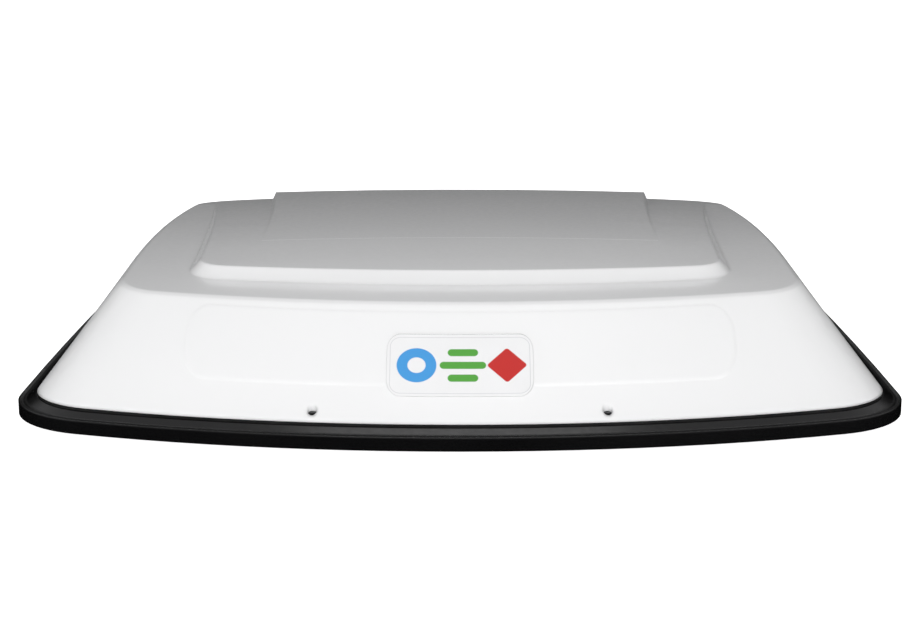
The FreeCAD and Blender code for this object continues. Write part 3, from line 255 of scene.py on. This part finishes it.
# distance from the edge of a rounded box, below zero inside
def roundedBoxDistance(tree, across, up, centre, half, corner):
    sides = []
    for value, middle, reach in zip((across, up), centre, half):
        away = calc(tree, "ABSOLUTE", calc(tree, "SUBTRACT", value, middle))
        sides.append(calc(tree, "MAXIMUM", calc(tree, "SUBTRACT", away, reach - corner), 0.0))
    square = [calc(tree, "MULTIPLY", side, side) for side in sides]
    return calc(tree, "SUBTRACT", calc(tree, "SQRT", calc(tree, "ADD", *square)), corner)


def inside(tree, distance, softness):
    return remap(tree, distance, -softness, softness, 1.0, 0.0)


def ringMask(tree, across, up, unit, look):
    ring = look["ring"]
    reach = unit * ring["reach"]
    edge = roundedBoxDistance(tree, across, up, (unit * ring["middle"], 0), (reach, reach), reach)
    away = calc(tree, "ABSOLUTE", calc(tree, "ADD", edge, unit * ring["inset"]))
    return inside(tree, calc(tree, "SUBTRACT", away, unit * ring["halfWidth"]), look["softness"])


def diamondMask(tree, across, up, unit, look):
    diamond = look["diamond"]
    away = calc(tree, "SUBTRACT", across, unit * diamond["middle"])
    turned = [calc(tree, "MULTIPLY", calc(tree, "ADD", away, up), math.sqrt(0.5)),
              calc(tree, "MULTIPLY", calc(tree, "SUBTRACT", up, away), math.sqrt(0.5))]
    reach = unit * diamond["reach"]
    edge = roundedBoxDistance(tree, *turned, (0, 0), (reach, reach), unit * diamond["corner"])
    return inside(tree, edge, look["softness"])


def badgeMaterial(look):
    low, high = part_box("front_badge")
    halfWide = (high.x - low.x) / 2
    halfTall = (high.z - low.z) / 2 * look["slope"]
    unit = halfTall / 10
    mat, tree = newMaterial("badgeFace")
    across, _, level = splitAxes(tree)
    up = calc(tree, "MULTIPLY", calc(tree, "SUBTRACT", level, (low.z + high.z) / 2), look["slope"])
    patches = noise(tree, objectCoords(tree), look["patchScale"], look["patchDetail"])
    shade = tuple(part * look["groundShade"] for part in look["ground"])
    tone = mixColor(tree, remap(tree, patches, *noiseSpan, 0, 1), look["ground"], shade)
    inset = unit * look["border"]["inset"]
    border = roundedBoxDistance(tree, across, up, (0, 0), (halfWide - inset, halfTall - inset),
                                unit * look["border"]["corner"])
    line = inside(tree, calc(tree, "ABSOLUTE", border), look["softness"] * look["lineWidth"])
    tone = mixColor(tree, line, tone, look["line"])
    tone = mixColor(tree, ringMask(tree, across, up, unit, look), tone, look["blue"])
    bars = look["bars"]
    for row, reach in zip(bars["rows"], bars["reaches"]):
        bar = roundedBoxDistance(tree, across, up, (unit * bars["middle"], unit * row),
                                 (unit * reach, unit * bars["halfTall"]), unit * bars["corner"])
        tone = mixColor(tree, inside(tree, bar, look["softness"]), tone, look["green"])
    tone = mixColor(tree, diamondMask(tree, across, up, unit, look), tone, look["red"])
    grain = noise(tree, objectCoords(tree), look["grainScale"], noiseDetail["grain"])
    rough = remap(tree, grain, *noiseSpan, *look["roughness"])
    shader = addNode(tree, "ShaderNodeBsdfPrincipled", {
        "Base Color": tone, "Roughness": rough, "IOR": look["ior"], "Coat Weight": look["coat"],
        "Coat Roughness": look["coatRoughness"], "Normal": roundedNormal(tree, look["edgeRadius"])})
    addNode(tree, "ShaderNodeOutputMaterial", {"Surface": shader.outputs["BSDF"]})
    return mat


dress(["front_badge"], badgeMaterial(badgeLook))
print("stage: badge printed")


floorLook = {"size": 30.0, "place": (0, 8.0, -0.0005), "glow": 0.92, "tone": (0.9, 0.9, 0.9)}
bpy.ops.mesh.primitive_plane_add(size=floorLook["size"], location=floorLook["place"])
floor = bpy.context.object
floor.name = "studioFloor"
floorPaint, tree = newMaterial("studioFloor")
glow = addNode(tree, "ShaderNodeEmission", {"Strength": floorLook["glow"]})
paint = addNode(tree, "ShaderNodeBsdfDiffuse", {"Color": (*floorLook["tone"], 1)})
both = addNode(tree, "ShaderNodeAddShader")
feed(tree, glow.outputs[0], both.inputs[0])
feed(tree, paint.outputs[0], both.inputs[1])
addNode(tree, "ShaderNodeOutputMaterial", {"Surface": both.outputs[0]})
floor.data.materials.append(floorPaint)
floor.visible_glossy = False

# each softbox: where it hangs and aims, how large and strong it is, and what doesn't see it
softboxes = [
    {"name": "frontSoftbox", "place": (0.0, -2.3, 0.8), "aim": (0, 0, 0.05), "size": (2.4, 0.8),
     "power": 34.0, "unseenBy": ["glossy"]},
    {"name": "leftSoftbox", "place": (-2.4, 0.1, 0.8), "aim": (0, 0, 0.05), "size": (1.2, 0.8),
     "power": 12.0, "unseenBy": ["glossy"]},
    {"name": "rightSoftbox", "place": (2.4, 0.1, 0.8), "aim": (0, 0, 0.05), "size": (1.2, 0.8),
     "power": 7.5, "unseenBy": ["glossy"]},
    {"name": "rearSoftbox", "place": (0.0, 3.0, 0.14), "aim": (0, 0, 0.06), "size": (2.4, 0.24),
     "power": 18.0, "unseenBy": ["glossy", "camera"]},
    {"name": "overheadStrip", "place": (0.0, 0.3, 2.0), "aim": (0, 0, 0.05), "size": (0.9, 0.6),
     "power": 3.0, "unseenBy": ["diffuse"]},
]


def areaLight(plan):
    data = bpy.data.lights.new(plan["name"], "AREA")
    data.shape = "RECTANGLE"
    data.size, data.size_y = plan["size"]
    data.energy = plan["power"]
    lamp = bpy.data.objects.new(plan["name"], data)
    bpy.context.scene.collection.objects.link(lamp)
    lamp.location = plan["place"]
    aim = Vector(plan["aim"]) - Vector(plan["place"])
    lamp.rotation_euler = aim.to_track_quat("-Z", "Y").to_euler()
    for kind in plan["unseenBy"]:
        setattr(lamp, "visible_" + kind, False)


for plan in softboxes:
    areaLight(plan)

# the sky is dark low down and fades to both sides, and the backdrop itself is white
skyPlan = {"horizon": (0.006, 0.006, 0.006), "low": 0.14, "sky": (0.475, 0.475, 0.48), "high": 0.45,
           "flankFade": (0.1, 0.3), "flankShare": 0.1, "flankTop": (0.3, 0.5), "backdrop": (1.0, 1.0, 1.0)}


def studioWorld(plan):
    world = bpy.data.worlds.new("studioWorld")
    world.use_nodes = True
    tree = world.node_tree
    tree.nodes.clear()
    coords = addNode(tree, "ShaderNodeTexCoord").outputs["Generated"]
    split = addNode(tree, "ShaderNodeSeparateXYZ", {"Vector": coords})
    across = calc(tree, "ABSOLUTE", split.outputs["X"])
    flank = remap(tree, across, *plan["flankFade"], 1.0, plan["flankShare"])
    level = calc(tree, "MAXIMUM", flank, remap(tree, split.outputs["Z"], *plan["flankTop"], 0.0, 1.0))
    ramp = addNode(tree, "ShaderNodeValToRGB", {"Fac": split.outputs["Z"]})
    for stop, place, color in zip(ramp.color_ramp.elements, ("low", "high"), ("horizon", "sky")):
        stop.position = plan[place]
        stop.color = (*plan[color], 1)
    seen = addNode(tree, "ShaderNodeLightPath").outputs["Is Camera Ray"]
    tone = mixColor(tree, seen, ramp.outputs["Color"], plan["backdrop"])
    strength = calc(tree, "MAXIMUM", level, seen)
    back = addNode(tree, "ShaderNodeBackground", {"Color": tone, "Strength": strength})
    addNode(tree, "ShaderNodeOutputWorld", {"Surface": back.outputs[0]})
    return world


bpy.context.scene.world = studioWorld(skyPlan)

cameraPlan = {"back": 1.393, "height": 0.3295, "tiltDown": 12.35, "lens": 70.43, "sensor": 36.0}
camData = bpy.data.cameras.new("camera")
camData.lens = cameraPlan["lens"]
camData.sensor_width = cameraPlan["sensor"]
cam = bpy.data.objects.new("camera", camData)
bpy.context.scene.collection.objects.link(cam)
cam.location = (0, -cameraPlan["back"], cameraPlan["height"])
cam.rotation_euler = (math.radians(90 - cameraPlan["tiltDown"]), 0, 0)
bpy.context.scene.camera = cam
bpy.context.scene.view_settings.view_transform = "Standard"
print("stage: camera and light set")
